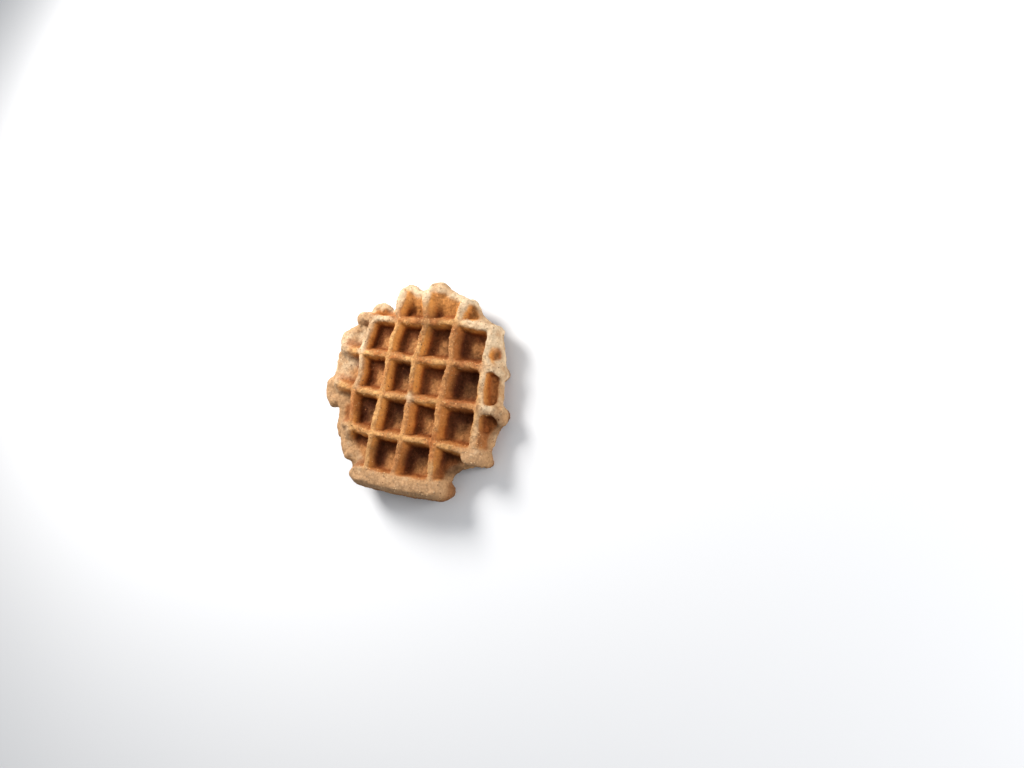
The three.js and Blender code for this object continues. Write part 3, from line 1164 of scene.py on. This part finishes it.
@dataclass
class CrumbScatter:
    """Small crumbs baked onto the upper side, most of them on the ribs and the free edge."""

    per_cm2: float = 24.0
    radius_mm: Pair = (0.14, 0.36)
    lump_mm: float = 0.12
    seed: int = 3

    def inputs(self) -> tuple[Input, ...]:
        """Name, socket type and default value of the tree's inputs."""
        return (("Crust", "NodeSocketGeometry", None),
                ("Crumbs per square centimetre", "NodeSocketFloat", self.per_cm2),
                ("Least radius mm", "NodeSocketFloat", self.radius_mm[0]),
                ("Greatest radius mm", "NodeSocketFloat", self.radius_mm[1]),
                ("Seed", "NodeSocketInt", self.seed), ("Skin", "NodeSocketMaterial", None))

    def scatter_tree(self) -> NodeTree:
        """Build the geometry tree that strews crumbs over the crust.

        Returns:
            The tree.
        """
        outputs = (("Crumbs", "NodeSocketGeometry"),)
        tree, source, sink = new_tree("crumb_scatter", "GeometryNodeTree", self.inputs(), outputs)
        g = Graph(tree)
        value = {label: source.outputs[label] for label, *_ in self.inputs()}
        normal = g.get("GeometryNodeInputNormal")
        height = g.named("height")
        share = g.times(g.ramp(height, 0.2, 1.0, 0.05, 1.0), g.ramp(g.parts(normal)[2], 0.1, 0.5))
        per_metre = g.times(value["Crumbs per square centimetre"], 1.0e4)
        feeds = {"Mesh": value["Crust"], "Seed": value["Seed"]}
        points = g.add("GeometryNodeDistributePointsOnFaces", feeds, distribute_method="RANDOM")
        g.feed(points.inputs["Density"], g.times(per_metre, share))
        tone = g.add("FunctionNodeRandomValue", {"Seed": 5}, data_type="FLOAT").outputs[1]
        toned = g.stored(points.outputs[0], "tone", tone)

        crumb = g.get("GeometryNodeMeshIcoSphere", {"Radius": MM, "Subdivisions": 2})
        feeds = {2: value["Least radius mm"], 3: value["Greatest radius mm"], "Seed": 6}
        size = g.add("FunctionNodeRandomValue", feeds, data_type="FLOAT").outputs[1]
        squash = self.random_vector(g, (0.75, 0.75, 0.55), (1.25, 1.25, 0.95), 7)
        turn = self.random_vector(g, (-0.4, -0.4, 0.0), (0.4, 0.4, math.tau), 8)
        feeds = {"Points": toned, "Instance": crumb, "Scale": g.scaled(squash, size)}
        strewn = g.get("GeometryNodeInstanceOnPoints", feeds)
        spun = g.get("GeometryNodeRotateInstances", {"Instances": strewn, "Rotation": turn})
        # Each crumb is roughened where it lies, so that no two are alike
        whole = g.get("GeometryNodeRealizeInstances", {0: spun})
        here = g.scaled(g.get("GeometryNodeInputPosition"), 1 / MM)
        lump = g.swing(here, 1.8, self.lump_mm * MM, 2.0, 31.0)
        g.finished(sink, g.moved(whole, offset=g.scaled(normal, lump)), value["Skin"])
        return tree

    def random_vector(self, g: Graph, least: tuple[float, ...], most: tuple[float, ...], seed: int) -> Socket:
        """Draw a vector between two bounds for each crumb."""
        feeds = {0: least, 1: most, "Seed": seed}
        return g.get("FunctionNodeRandomValue", feeds, data_type="FLOAT_VECTOR")

    def build(self, crust: Object, skin: Material) -> Object:
        """Strew the crumbs and hand them over as one piece.

        Args:
            crust: The baked body.
            skin: The crumbs' material.

        Returns:
            The crumbs' object.
        """
        values = {label: value for label, _, value in self.inputs() if value is not None}
        values["Skin"] = skin
        piece = grow("crumbs_on_crust", crust.data.copy(), self.scatter_tree(), values)
        hand_over(piece)
        return piece


@dataclass
class Studio:
    """The pale floor, the soft lights and the camera."""

    iron: Iron = IRON
    floor_side: float = 4.0
    # Camera pose: where it stands from the crown's top in millimetres, and its axes
    stand: Triple = (317.94, -35.10, 416.96)
    right: Triple = (0.83845, 0.17459, -0.51626)
    up: Triple = (-0.09839, 0.98022, 0.17170)
    focal_pixels: float = 1200.0
    frame_pixels: float = 1024.0
    sensor: float = 36.0

    def floor(self) -> None:
        """Lay the floor."""
        bm = bmesh.new()
        bmesh.ops.create_grid(bm, x_segments=8, y_segments=8, size=self.floor_side / 2)
        mesh = bpy.data.meshes.new("floor")
        bm.to_mesh(mesh)
        bm.free()
        material, g, shader = new_material("floor_white")
        place = g.add("ShaderNodeTexCoord").outputs["Object"]
        cloud = g.noise(place, 3.0, 2.0)
        g.feed(shader["Base Color"], g.mix(cloud, (0.6, 0.61, 0.63), (0.63, 0.63, 0.64)))
        g.feed(shader["Roughness"], g.ramp(cloud, 0.0, 1.0, 0.6, 0.7))
        mesh.materials.append(material)
        link_object("floor", mesh)

    def panel(self, name: str, toward: Triple, far: float, side: float,
              watts: float, colour: Colour) -> None:
        """Hang a square soft light that faces the waffle.

        Args:
            name: The light's name.
            toward: Direction from the waffle to the light.
            far: Distance in metres.
            side: Side of the square in metres.
            watts: Power.
            colour: Colour of the light.
        """
        light = bpy.data.lights.new(name, "AREA")
        light.shape = "SQUARE"
        light.size = side
        light.energy = watts
        light.color = colour
        holder = link_object(name, light)
        direction = Vector(toward).normalized()
        holder.location = direction * far
        holder.rotation_euler = direction.to_track_quat("Z", "Y").to_euler()

    def lights(self) -> None:
        """Set the lights and the pale surroundings."""
        world = bpy.data.worlds.new("surroundings")
        world.use_nodes = True
        background = world.node_tree.nodes["Background"]
        background.inputs[0].default_value = (0.96, 0.98, 1.0, 1.0)
        background.inputs[1].default_value = 0.45
        bpy.context.scene.world = world
        self.panel("key", (-0.9, 0.8, 1.0), 0.36, 0.17, 2.2, (1.0, 0.98, 0.95))
        self.panel("side", (1.0, 0.12, 0.42), 0.8, 0.3, 4.6, (1.0, 1.0, 1.0))

    def camera(self) -> None:
        """Place the camera at the photograph's viewing angle."""
        right, up = Vector(self.right).normalized(), Vector(self.up).normalized()
        back = right.cross(up).normalized()
        crown = Vector(self.iron.middle) + Vector((0, 0, self.iron.half_thick))
        turn = Matrix((right, up, back)).transposed().to_4x4()
        data = bpy.data.cameras.new("camera")
        data.sensor_fit = "HORIZONTAL"
        data.sensor_width = self.sensor
        data.lens = self.focal_pixels / self.frame_pixels * self.sensor
        data.clip_start = 0.01
        camera = link_object("camera", data)
        camera.matrix_world = Matrix.Translation((crown + Vector(self.stand)) * MM) @ turn
        bpy.context.scene.camera = camera

    def build(self) -> None:
        """Build the whole setting."""
        self.floor()
        self.lights()
        self.camera()
        view = bpy.context.scene.view_settings
        view.view_transform = "Standard"
        view.look = "Medium High Contrast"


def main() -> None:
    """Build the waffle and its setting."""
    logging.basicConfig(level=logging.INFO, format="%(name)s: %(message)s", stream=sys.stdout)
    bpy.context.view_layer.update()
    grain = CrumbGrain().build()
    crust = CrustFinish().build(grain)
    body = WaffleBody().build(crust)
    CrumbScatter().build(body, CrumbFinish().build(grain))
    Studio().build()


if __name__ == "__main__":
    main()
